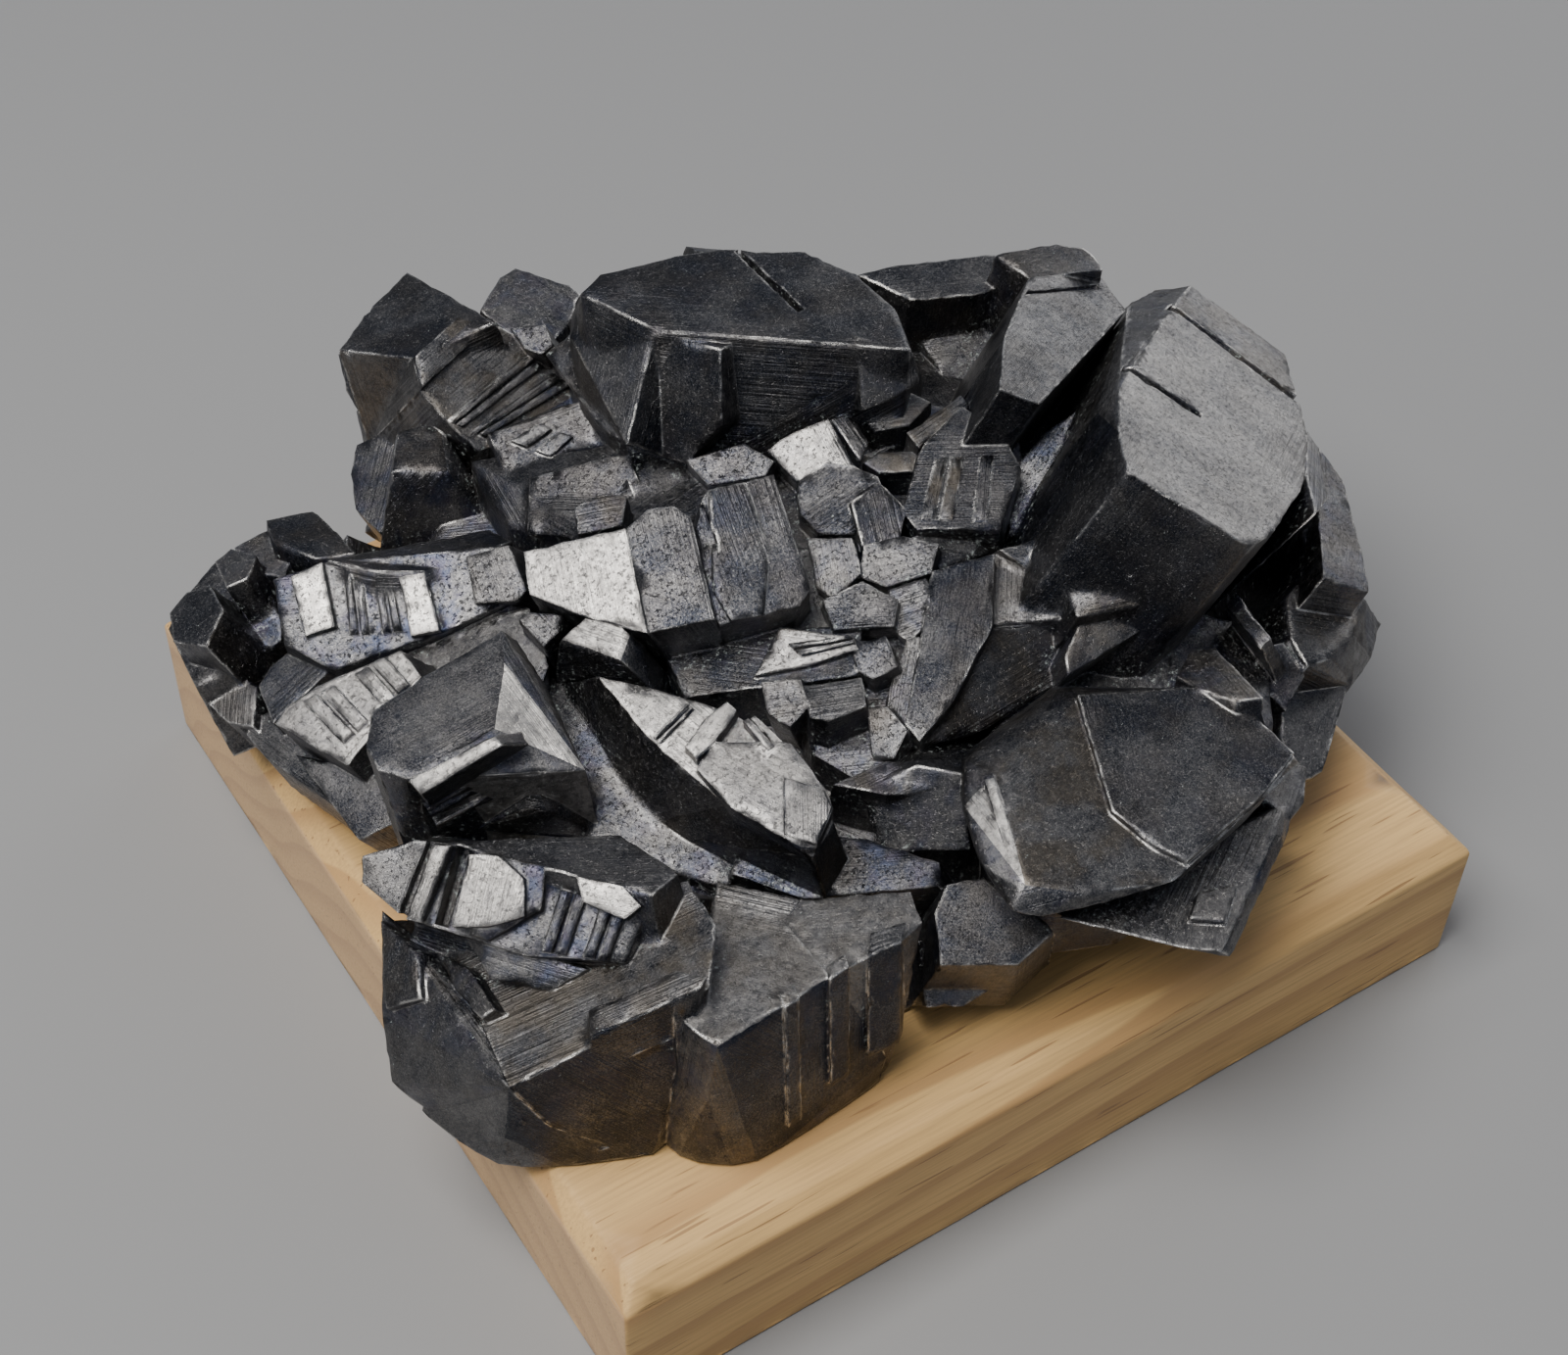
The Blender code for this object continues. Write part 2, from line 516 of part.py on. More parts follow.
def right_side():
    plate = crystal("big_plate",
                    crown=[(1066, 726), (1096, 712), (1225, 704), (1261, 716), (1321, 772),
                           (1328, 779), (1288, 815), (1198, 900), (1106, 912), (1046, 903),
                           (1016, 789)],
                    height=43, lean=(50, 8), depth=3.4, spread=1.0, grow=UNDERCUT,
                    skirt=[(983, 775), (983, 822), (1000, 880), (1033, 932), (1062, 936),
                           (1120, 925), (1079, 702)],
                    drop=1.8)
    terrace("big_plate_step", plate, [(1096, 712), (1225, 704), (1261, 716), (1321, 772),
                                      (1288, 815), (1210, 885), (1176, 868), (1174, 832),
                                      (1159, 840), (1132, 832)], 0.7)
    crystal("big_plate_strip",
            crown=[(1003, 795), (1014, 792), (1049, 903), (1038, 906)],
            height=42.6, lean=(300, 26), depth=3, grow=UNDERCUT)
    crystal("big_plate_root",
            crown=[(1100, 730), (1225, 720), (1300, 780), (1185, 870), (1070, 885), (1025, 800)],
            height=42, lean=(50, 8), depth=16, spread=0.95)
    lower = crystal("lower_plate",
                    crown=[(1299, 827), (1308, 824), (1302, 851), (1248, 972), (1209, 969),
                           (1080, 937), (1166, 916)],
                    height=35, lean=(60, 6), depth=5, spread=0.99, grow=UNDERCUT,
                    skirt=[(1320, 822), (1313, 856), (1256, 978)], drop=1.6)
    terrace("lower_plate_step", lower, [(1220, 915), (1262, 905), (1250, 945), (1212, 942)], 0.7)
    crystal("right_facet",
            crown=[(1200, 690), (1215, 662), (1240, 660), (1290, 712), (1261, 716), (1225, 704)],
            height=42, lean=(200, 12), depth=12)
    crystal("right_slab",
            crown=[(1249, 617), (1262, 605), (1297, 650), (1286, 662)],
            height=40, lean=(300, 26), depth=14)
    crystal("right_dark",
            crown=[(1286, 662), (1310, 655), (1332, 690), (1312, 726), (1275, 690)],
            height=36, lean=(10, 34), depth=12)
    crystal("right_crystal",
            crown=[(1322, 596), (1370, 595), (1385, 601), (1393, 612), (1383, 648), (1359, 672),
                   (1335, 680), (1317, 651), (1312, 609)],
            height=37, lean=(70, 22), depth=16,
            skirt=[(1409, 636), (1400, 672), (1380, 700)], drop=5)
    crystal("right_back",
            crown=[(1346, 455), (1370, 488), (1391, 567), (1398, 604), (1350, 590), (1345, 530)],
            height=38, lean=(95, 26), depth=18)
    crystal("right_back_knob",
            crown=[(1330, 540), (1370, 520), (1385, 560), (1360, 590), (1330, 590)],
            height=38, lean=(60, 14), depth=14)
    crystal("right_low_knob",
            crown=[(1308, 720), (1340, 690), (1375, 700), (1351, 731), (1350, 787), (1330, 800),
                   (1310, 770)],
            height=31, lean=(60, 30), depth=10)
    crystal("right_low_bit",
            crown=[(1300, 775), (1334, 782), (1332, 819), (1319, 835), (1285, 815)],
            height=35, lean=(70, 24), depth=9)
    crystal("right_foot_lump",
            crown=[(953, 932), (966, 902), (1004, 895), (1018, 911), (1062, 938), (1078, 950),
                   (1040, 985), (960, 985)],
            height=34, lean=(10, 24), depth=12)
    crystal("right_foot_matrix",
            crown=[(935, 960), (1000, 975), (1040, 960), (1075, 966), (1018, 1000), (984, 1028),
                   (945, 1030)],
            height=29, lean=(10, 50), depth=10)


def front_group():
    crystal("front_left_top",
            crown=[(689, 1020), (603, 1057), (519, 1110), (488, 1040), (444, 968), (560, 955),
                   (701, 898), (732, 944), (716, 987), (724, 1008)],
            height=39, lean=(285, 25), depth=8, spread=1.0, grow=FRONT_AXIS,
            extra=[(503, 1172, 18.8), (560, 1185, 17.8), (665, 1182, 17.8), (430, 1130, 19)])
    crystal("front_left_shelf",
            crown=[(603, 1057), (689, 1020), (716, 1008), (722, 996), (690, 990), (600, 1030)],
            height=37.2, lean=(285, 25), depth=6, spread=1.0, grow=FRONT_AXIS)
    crystal("front_left_rib",
            crown=[(596, 1062), (608, 1056), (604, 1040)],
            height=36.0, lean=(285, 25), depth=16, spread=1.0, grow=RIDGE_AXIS)
    crystal("front_left_column",
            crown=[(683, 1025), (694, 1018), (699, 1030), (688, 1036)],
            height=38.4, lean=(285, 25), depth=20, spread=1.0, grow=RIDGE_AXIS)
    crystal("front_right_top",
            crown=[(759, 1049), (732, 1069), (697, 1045), (728, 1014), (732, 898),
                   (817, 917), (866, 985), (843, 999)],
            height=37.8, lean=(280, 3), depth=8, spread=1.0, grow=FRONT_AXIS,
            extra=[(713, 1183, 17.8), (774, 1188, 17.8), (848, 1127, 20.5), (905, 1080, 22),
                   (680, 1170, 17.8)])
    crystal("front_right_end",
            crown=[(880, 976), (847, 997), (800, 940), (817, 917), (930, 909), (942, 941),
                   (922, 960)],
            height=38.4, lean=(280, 3), depth=8, spread=0.98, grow=FRONT_AXIS,
            extra=[(912, 1062, 24), (925, 1030, 28), (856, 1100, 22.5)])
    crystal("front_right_rib",
            crown=[(885, 977), (920, 962), (925, 940), (888, 952)],
            height=38.7, lean=(280, 3), depth=14, spread=0.99, grow=RIDGE_AXIS)
    crystal("front_right_rib_two",
            crown=[(846, 1000), (867, 987), (862, 972), (843, 986)],
            height=38.6, lean=(280, 3), depth=15, spread=0.99, grow=RIDGE_AXIS)
    crystal("front_right_rib_three",
            crown=[(800, 1029), (815, 1020), (810, 1006), (796, 1016)],
            height=38.0, lean=(280, 3), depth=17, spread=1.0, grow=RIDGE_AXIS)
    row = crystal("front_ledge",
                  crown=[(428, 857), (465, 863), (514, 872), (590, 888), (666, 913), (638, 983),
                         (537, 976), (463, 948), (424, 941), (370, 902), (368, 876)],
                  height=42, lean=(345, 38), depth=14)
    terrace("front_ledge_one", row, [(372, 874), (428, 857), (440, 859), (410, 934), (372, 902)],
            1.0)
    terrace("front_ledge_one_edge", row, [(446, 860), (465, 863), (434, 943), (418, 940)], 1.4)
    groove("front_ledge_gap", row, [(467, 863), (479, 866), (456, 946), (444, 943)], 2.0)
    terrace("front_ledge_two", row, [(484, 872), (514, 872), (541, 898), (541, 937), (502, 948),
                                     (465, 948)], 1.8)
    terrace("front_ledge_two_low", row, [(514, 874), (560, 884), (556, 930), (500, 962),
                                         (480, 955)], 1.0)
    terrace("front_ledge_three", row, [(592, 894), (640, 904), (660, 925), (642, 940),
                                       (598, 922)], 1.8)
    ribs("front_ledge_rib", row, [(566, 905), (650, 930), (545, 972), (630, 982)], 4, 0.9, 0.55)
    crystal("front_ledge_back",
            crown=[(440, 858), (533, 860), (634, 852), (693, 890), (666, 913), (590, 890),
                   (514, 873)],
            height=42, lean=(180, 14), depth=14)
    crystal("front_ledge_foot",
            crown=[(470, 950), (545, 975), (600, 990), (560, 1012), (500, 1000)],
            height=36.5, lean=(340, 46), depth=10)
    crystal("front_left_side",
            crown=[(440, 968), (488, 1040), (519, 1110)],
            height=30.4, lean=(285, 25), depth=8, spread=1.0,
            extra=[(389, 929, 30), (389, 1038, 25), (399, 1105, 20.5), (440, 1135, 19.5),
                   (500, 1165, 19)])
    crystal("front_left_chip",
            crown=[(440, 1005), (478, 1040), (500, 1100), (462, 1112), (425, 1060)],
            height=29.5, lean=(305, 56), depth=8)
    crystal("front_left_chip_two",
            crown=[(388, 940), (425, 972), (428, 1020), (392, 1030)],
            height=30.5, lean=(300, 50), depth=8)
    crystal("front_left_chip_five",
            crown=[(452, 975), (480, 990), (505, 1030), (490, 1040), (462, 1008)],
            height=31.4, lean=(290, 40), depth=8)
    crystal("front_left_chip_three",
            crown=[(488, 1075), (520, 1108), (534, 1150), (500, 1150)],
            height=31, lean=(330, 70), depth=8)


def hidden_sides():
    """Crystals the photograph doesn't show: the back, the far ends and the undersides."""
    placed("back_one", (24, 44, 40), (40, 35), 18, 12, 16)
    placed("back_two", (4, 46, 34), (80, 50), 16, 10, 14)
    placed("back_three", (40, 36, 32), (55, 55), 16, 14, 16)
    placed("back_four", (-8, 50, 28), (110, 55), 15, 11, 14)
    placed("back_five", (52, 26, 30), (30, 60), 15, 12, 14)
    placed("back_six", (20, 48, 26), (85, 62), 14, 10, 12)
    placed("far_left_one", (-22, 44, 30), (140, 50), 14, 12, 14)
    placed("far_left_two", (-36, 36, 26), (150, 60), 12, 10, 12)
    placed("far_right_one", (58, -2, 28), (0, 60), 13, 11, 14)
    placed("far_right_two", (54, -18, 26), (-20, 65), 12, 10, 12)


def core():
    lump("mass", [(-44, -28, 17), (-15, -38, 17), (35, -34, 17), (48, -20, 17), (50, 15, 17),
                  (25, 40, 17), (-15, 46, 17), (-44, 26, 17),
                  (-38, -20, 30), (-12, -28, 31), (20, -25, 36), (42, -10, 36), (44, 10, 38),
                  (22, 34, 42), (-15, 38, 36), (-38, 20, 30)])
    filling("filling_back", [(480, 470, 40), (640, 455, 43), (800, 450, 45), (930, 410, 46),
                             (1020, 420, 44), (1060, 520, 41), (900, 560, 42), (800, 560, 43),
                             (640, 560, 43), (520, 540, 38)])
    filling("filling_middle", [(800, 560, 43), (930, 560, 43), (1010, 560, 42), (960, 640, 41),
                               (850, 660, 40.5), (800, 640, 41)])
    filling("filling_centre", [(800, 690, 38), (900, 640, 40.5), (960, 660, 40), (930, 760, 38),
                               (880, 800, 36.5), (830, 770, 37)])
    filling("filling_left", [(300, 600, 33), (420, 640, 37), (540, 620, 41), (560, 680, 40),
                             (520, 780, 36), (400, 800, 33), (310, 700, 31)])
    filling("filling_front", [(560, 690, 37), (640, 700, 38), (780, 880, 32), (740, 905, 32),
                              (620, 870, 33), (540, 800, 35)])
    filling("filling_right", [(1000, 760, 37), (1080, 660, 38), (1200, 620, 38), (1290, 640, 35),
                              (1300, 740, 34), (1180, 800, 36), (1020, 900, 34)])
    plug("plug_right", (43.1, -21.1, 20.4), (45.7, -19.2, 22.6))
    plug("plug_left", (-36.0, 27.2, 22.6), (-33.9, 29.8, 25.6))
    plug("plug_ridge", (13.6, -8.8, 36.4), (15.8, -7.1, 38.6))
    plug("plug_centre", (3.4, -14.9, 34.8), (5.4, -13.0, 38.2))


def clear_scene():
    for thing in list(bpy.data.objects):
        bpy.data.objects.remove(thing, do_unlink=True)


def finish(name, colour, roughness, metallic):
    material = bpy.data.materials.new(name)
    material.use_nodes = True
    shader = material.node_tree.nodes["Principled BSDF"]
    shader.inputs["Base Color"].default_value = (*colour, 1.0)
    shader.inputs["Roughness"].default_value = roughness
    shader.inputs["Metallic"].default_value = metallic
    return material


def combine(body, name, operation, group):
    step = body.modifiers.new(name, "BOOLEAN")
    step.operation = operation
    step.solver = "EXACT"
    step.operand_type = "COLLECTION"
    step.collection = group


def make_underside_cutter():
    """The level cut that the specimen lies on."""
    reach = BLOCK_SIDE
    corners = [Vector((across * reach, along * reach, height))
               for across in (-1, 1) for along in (-1, 1) for height in (-reach, UNDERSIDE)]
    cutter = solid("below", corners)
    CRYSTALS.objects.unlink(cutter)
    BELOW.objects.link(cutter)


def make_cluster():
    """One solid: the core with every crystal fused to it."""
    back_row()
    left_back()
    left_lobe()
    middle()
    right_side()
    front_group()
    hidden_sides()
    core()
    make_underside_cutter()
    body = CRYSTALS.objects["mass"]
    CRYSTALS.objects.unlink(body)
    body.name = "bournonite_cluster"
    body.hide_render = False
    body.display_type = "TEXTURED"
    bpy.context.scene.collection.objects.link(body)
    combine(body, "fuse", "UNION", CRYSTALS)
    combine(body, "grooves", "DIFFERENCE", GROOVES)
    combine(body, "flat_underside", "DIFFERENCE", BELOW)
    body.data.materials.append(finish("bournonite", (0.09, 0.09, 0.1), 0.35, 0.9))


def make_block():
    """The square block, with a chamfer round its top."""
    half = BLOCK_SIDE / 2
    inner = half - BLOCK_CHAMFER
    points = []
    for across in (-1, 1):
        for along in (-1, 1):
            points.append(Vector((across * half, along * half, 0)))
            points.append(Vector((across * half, along * half, BLOCK_HEIGHT - BLOCK_CHAMFER)))
            points.append(Vector((across * inner, along * inner, BLOCK_HEIGHT)))
    block = solid("wood_base", points)
    CRYSTALS.objects.unlink(block)
    block.hide_render = False
    block.display_type = "TEXTURED"
    bpy.context.scene.collection.objects.link(block)
    block.data.materials.append(finish("pine", (0.62, 0.43, 0.24), 0.6, 0.0))


def helper_group(name):
    group = bpy.data.collections.new(name)
    bpy.context.scene.collection.children.link(group)
    return group


clear_scene()
CRYSTALS = helper_group("crystals")
GROOVES = helper_group("grooves")
BELOW = helper_group("below")
make_cluster()
make_block()
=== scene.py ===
"""The looks of a bournonite specimen that lies on a square block of pine.

The specimen's surface starts from its CAD solid. Its flat facets are divided into small
triangles, their edges are rubbed back and chipped, and each facet carries the direction of its
growth lines, its tone and its tarnish to the material; on picked facets that tone is painted
light, a painted reflection where bright and painted shade where dark. Sizes are in
millimetres, and MM turns them into Blender's metres.
"""

import math

import bmesh
import bpy
import numpy as np
from mathutils import Matrix, Vector, noise
from mathutils.bvhtree import BVHTree


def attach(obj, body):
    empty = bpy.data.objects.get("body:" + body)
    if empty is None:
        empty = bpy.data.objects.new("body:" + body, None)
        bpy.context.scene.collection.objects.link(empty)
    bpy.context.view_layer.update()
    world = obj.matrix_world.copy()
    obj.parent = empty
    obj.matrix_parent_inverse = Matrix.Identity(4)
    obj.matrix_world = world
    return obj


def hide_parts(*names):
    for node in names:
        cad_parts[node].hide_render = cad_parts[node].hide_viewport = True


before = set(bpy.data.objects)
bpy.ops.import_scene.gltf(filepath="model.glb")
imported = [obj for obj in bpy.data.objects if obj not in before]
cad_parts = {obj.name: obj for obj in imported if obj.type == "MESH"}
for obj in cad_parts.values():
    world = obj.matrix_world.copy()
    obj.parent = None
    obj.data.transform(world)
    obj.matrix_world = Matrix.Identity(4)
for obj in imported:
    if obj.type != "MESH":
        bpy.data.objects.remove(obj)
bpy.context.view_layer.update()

MM = 0.001

# The photograph's viewpoint, in the block's axes
IMAGE_SIZE = (1600, 1383)
FOCAL_LENGTH = 2562.57
SENSOR_WIDTH = 36.0
EYE = Vector((-101.38, -147.41, 212.15))
VIEW_YAW = math.radians(-34.097)
VIEW_PITCH = math.radians(46.351)
VIEW_ROLL = math.radians(1.784)

# The specimen's divided surface
FACET_ANGLE = math.radians(0.7)
TINY_FACE = 0.02
LONGEST_EDGE = 1.5
MOST_SPLITS = 6
LEVEL_BELOW = -0.95
WELD = 0.002
SHARP_ANGLE = math.radians(22)

# Wear: how far edges go back, how much more where chipped, and how far they wander sideways
EDGE_WEAR = 0.10
EDGE_CHIP = 0.16
EDGE_WANDER = 0.14
WANDER_SEED = 1
RELIEF = 0.05
CONVEX_ENOUGH = 0.3
CHIP_PLACES = Vector((31, 7, 5))

# How far a crevice reaches, the rays that measure it, and how far off the surface they start
CREVICE_REACH = 11.0
CREVICE_RAYS = 16
CREVICE_START = 0.35

# How near and how level with a facet its steps are
STEP_REACH = 7.5
STEP_LEVEL = math.cos(math.radians(3))

# Moves each facet's pattern away from its neighbours'
PATTERN_SHIFT = 7.31

# Facets picked out by a pixel of the photograph: (tone, brown sheen, blue tarnish). The tone
# is painted light: high on facets painted with a reflection, low on facets painted in shade.
FACET_LOOKS = {
    "bright": ((0.88, 0.15, 0.05), [(590, 580), (610, 650), (315, 620), (430, 618), (462, 783),
                                    (545, 740), (1028, 850), (505, 905), (622, 912), (545, 810),
                                    (722, 750)]),
    "silver": ((0.48, 0.2, 0.1), [(340, 735), (395, 700), (745, 800), (812, 815), (830, 458),
                                  (850, 664), (436, 900)]),
    "soft": ((0.28, 0.20, 0.05), [(1235, 430), (1290, 400), (1120, 590), (470, 660), (1230, 930)]),
    "steel": ((0.15, 0.25, 0.05), [(1080, 340), (865, 450), (400, 900), (500, 580), (700, 490),
                                   (820, 548)]),
    "grey": ((0.08, 0.2, 0.05), [(680, 580), (980, 500), (920, 575), (560, 515), (650, 500),
                                 (440, 730), (850, 520), (900, 620), (890, 670)]),
    "slate": ((0.03, 0.3, 0.1), [(770, 560), (740, 560), (1080, 600)]),
    "olive": ((0.14, 0.9, 0.0), [(600, 1000), (1150, 800), (1080, 830), (455, 352), (910, 470),
                                 (1360, 630), (1060, 680)]),
    "pale_olive": ((0.34, 0.6, 0.0), [(800, 980), (780, 940)]),
    "dark": ((0.05, 0.35, 0.1), [(760, 290), (1220, 780), (430, 330), (820, 400), (690, 400),
                                 (620, 360), (980, 600), (980, 690), (730, 690), (600, 480),
                                 (840, 780)]),
    "black": ((0.0, 0.0, 0.3), [(640, 1120), (600, 1140), (560, 1140), (800, 1090), (850, 1060),
                                (780, 1130), (900, 1010), (1030, 560), (1090, 480)]),
    "blue": ((0.14, 0.0, 0.8), [(365, 620), (520, 985), (600, 955), (705, 1110), (480, 820),
                                (455, 510)]),
}

# Colours of the metal and of what lies on it, with its painted reflections and edge highlights
GRAPHITE = (0.027, 0.030, 0.039, 1)
# Silver is the bright metal's tone and also the reflection painted onto picked facets
SILVER_AND_PAINTED_REFLECTION = (0.67, 0.64, 0.60, 1)
BROWN_SHEEN = (0.120, 0.098, 0.070, 1)
BLUE_TARNISH = (0.050, 0.062, 0.110, 1)
PURPLE_TARNISH = (0.070, 0.064, 0.098, 1)
# Bare metal of rubbed edges, near white as their painted highlight
BARE_EDGE_HIGHLIGHT = (0.78, 0.76, 0.72, 1)
PALE_POWDER = (0.36, 0.40, 0.38, 1)
ROUNDED_EDGE = 0.42

# Colours of the pine, and how its rings lie
PINE_DEEP = (0.61, 0.365, 0.135, 1)
PINE_PALE = (0.82, 0.54, 0.22, 1)
LATE_WOOD = (0.45, 0.245, 0.095, 1)
DARK_FIBRE = (0.46, 0.28, 0.115, 1)
DARK_FLECK = (0.30, 0.16, 0.07, 1)
END_GRAIN = (0.58, 0.40, 0.27, 1)
PITH_BELOW = 46.0
RING_WAVER = 34.0
RINGS_PER_MM = 0.21
ROUNDED_ARRIS = 0.6

# The block's divided surface
BLOCK_EASING = 0.35
BLOCK_EDGE = 4.0
BLOCK_SPLITS = 6
BLOCK_RELIEF = 0.06
BLOCK_SHARP_ANGLE = math.radians(40)

# The studio
FLOOR_REACH = 3.0
FLOOR_GREY = 0.27
SKY_COLOUR = (0.80, 0.86, 1.0, 1.0)
SKY_STRENGTH = 0.28
LIT_SPOT = Vector((0, 0, 0.03))


def view_axes():
    ahead_level = Vector((-math.sin(VIEW_YAW), math.cos(VIEW_YAW), 0.0))
    ahead = ahead_level * math.cos(VIEW_PITCH) - Vector((0.0, 0.0, math.sin(VIEW_PITCH)))
    right_level = Vector((math.cos(VIEW_YAW), math.sin(VIEW_YAW), 0.0))
    up_level = right_level.cross(ahead)
    right = right_level * math.cos(VIEW_ROLL) + up_level * math.sin(VIEW_ROLL)
    up = up_level * math.cos(VIEW_ROLL) - right_level * math.sin(VIEW_ROLL)
    return right, up, ahead


RIGHT, UP, AHEAD = view_axes()


def sight_line(pixel):
    across = (pixel[0] - IMAGE_SIZE[0] / 2) / FOCAL_LENGTH
    down = (pixel[1] - IMAGE_SIZE[1] / 2) / FOCAL_LENGTH
    return (AHEAD + RIGHT * across - UP * down).normalized()


def split_long_edges(surface, long_edges):
    """Splits each of these edges in two and makes triangles again."""
    bmesh.ops.subdivide_edges(surface, edges=long_edges, cuts=1)
    bmesh.ops.triangulate(surface, faces=[f for f in surface.faces if len(f.verts) > 3])


# The specimen's surface

def facet_surface(node):
    """The node's solid as a bmesh in millimetres, each face numbered by its flat facet."""
    surface = bmesh.new()
    surface.from_mesh(node.data)
    bmesh.ops.scale(surface, vec=(1 / MM,) * 3, verts=surface.verts)
    bmesh.ops.remove_doubles(surface, verts=surface.verts, dist=WELD)
    bmesh.ops.triangulate(surface, faces=surface.faces)
    surface.normal_update()
    number = surface.faces.layers.int.new("facet")
    for face in surface.faces:
        face[number] = -1
    count = 0
    for seed in sorted(surface.faces, key=lambda face: -face.calc_area()):
        if seed[number] >= 0:
            continue
        seed[number] = count
        waiting = [seed]
        while waiting:
            face = waiting.pop()
            for edge in face.edges:
                for other in edge.link_faces:
                    if other[number] >= 0:
                        continue
                    flat = other.normal.angle(seed.normal, math.pi) < FACET_ANGLE
                    if flat or other.calc_area() < TINY_FACE:
                        other[number] = count
                        waiting.append(other)
        count += 1
    return surface, count


def divide(surface):
    """Splits the long edges, but not those of the level underside."""
    for _ in range(MOST_SPLITS):
        split_long_edges(surface, [edge for edge in surface.edges
                                   if edge.calc_length() > LONGEST_EDGE
                                   and min(face.normal.z for face in edge.link_faces) > LEVEL_BELOW])
    surface.normal_update()


def facet_frames(surface, count):
    """For each facet its normal, the direction of its longest edge, which is how its growth
    lines run, and the direction across them."""
    number = surface.faces.layers.int["facet"]
    normals = [Vector() for _ in range(count)]
    for face in surface.faces:
        normals[face[number]] += face.normal * face.calc_area()
    longest = [(0.0, Vector((1.0, 0.0, 0.0)))] * count
    for edge in surface.edges:
        around = {face[number] for face in edge.link_faces}
        if len(around) < 2:
            continue
        line = edge.verts[1].co - edge.verts[0].co
        for facet in around:
            if line.length > longest[facet][0]:
                longest[facet] = (line.length, line)
    frames = []
    for facet in range(count):
        normal = normals[facet].normalized() if normals[facet].length else Vector((0, 0, 1))
        along = longest[facet][1]
        along = (along - normal * along.dot(normal)).normalized()
        frames.append((normal, along, normal.cross(along)))
    return frames


def wear(surface, frames):
    """Moves the vertices: edges are rubbed back and chipped, and facets are a little uneven."""
    number = surface.faces.layers.int["facet"]
    noise.seed_set(WANDER_SEED)  # without it noise_vector differs from run to run
    moves = []
    for vertex in surface.verts:
        facets = {face[number] for face in vertex.link_faces}
        spot = vertex.co
        ripple = noise.noise(spot * 0.45) * 0.6 + noise.noise(spot * 1.7) * 0.4
        if len(facets) == 1:
            normal = frames[next(iter(facets))][0]
            if normal.z < LEVEL_BELOW:
                continue
            moves.append((vertex, normal * (RELIEF * ripple)))
            continue
        outward = sum((frames[facet][0] for facet in facets), Vector())
        if outward.length < 0.2:
            continue
        outward.normalize()
        bend = sum(edge.calc_face_angle_signed(0.0) for edge in vertex.link_edges
                   if edge.is_manifold)
        if bend <= CONVEX_ENOUGH:
            continue
        chip = max(0.0, noise.noise(spot * 0.9 + CHIP_PLACES)) ** 2 * 4
        depth = EDGE_WEAR + EDGE_CHIP * chip
        wander = noise.noise_vector(spot * 1.3) * EDGE_WANDER
        moves.append((vertex, wander - outward * depth))
    for vertex, move in moves:
        vertex.co += move


def crevices(surface, solid_tree):
    """How shut in each vertex is, from 0 in the open to 1 in a deep crevice."""
    golden = math.pi * (3 - math.sqrt(5))
    rays = []
    for index in range(CREVICE_RAYS):
        height = math.sqrt(1 - (index + 0.5) / CREVICE_RAYS)
        flat = math.sqrt(1 - height * height)
        rays.append(Vector((flat * math.cos(index * golden), flat * math.sin(index * golden),
                            height)))
    shut = np.zeros(len(surface.verts), np.float32)
    for index, vertex in enumerate(surface.verts):
        turn = vertex.normal.to_track_quat("Z", "Y")
        start = vertex.co + vertex.normal * CREVICE_START
        total = 0.0
        for ray in rays:
            distance = solid_tree.ray_cast(start, turn @ ray, CREVICE_REACH)[3]
            if distance is not None:
                total += 1 - distance / CREVICE_REACH
        shut[index] = total / CREVICE_RAYS
    return shut


def looks_of(surface, count, solid_tree, frames):
    """Each facet's tone, brown sheen and blue tarnish: at random, then by the picked pixels. A
    picked tone is painted light: bright for a painted reflection, dark for painted shade.
    The steps and ribs that lie flat on a picked facet look like it."""
    number = surface.faces.layers.int["facet"]
    draw = np.random.RandomState(11)
    looks = np.stack([draw.uniform(0.03, 0.22, count), draw.uniform(0.0, 0.8, count) ** 1.5,
                      draw.uniform(0.0, 0.8, count) ** 2], axis=1)
    normals = np.array([normal for normal, _, _ in frames])
    areas = np.zeros(count)
    middles = np.zeros((count, 3))
    for face in surface.faces:
        areas[face[number]] += face.calc_area()
        middles[face[number]] += np.array(face.calc_center_median()) * face.calc_area()
    middles /= areas[:, None]
    picked = []
    # The picked tones paint light onto facets: bright ones as reflection, dark ones as shade
    for look, pixels in FACET_LOOKS.values():
        for pixel in pixels:
            spot, _, face, _ = solid_tree.ray_cast(EYE, sight_line(pixel))
            if face is None:
                continue
            facet = surface.faces[face][number]
            picked.append((facet, look))
            flat = normals @ normals[facet] > STEP_LEVEL
            near = np.linalg.norm(middles - np.array(spot), axis=1) < STEP_REACH
            looks[flat & near] = look
    for facet, look in picked:
        looks[facet] = look
    return looks


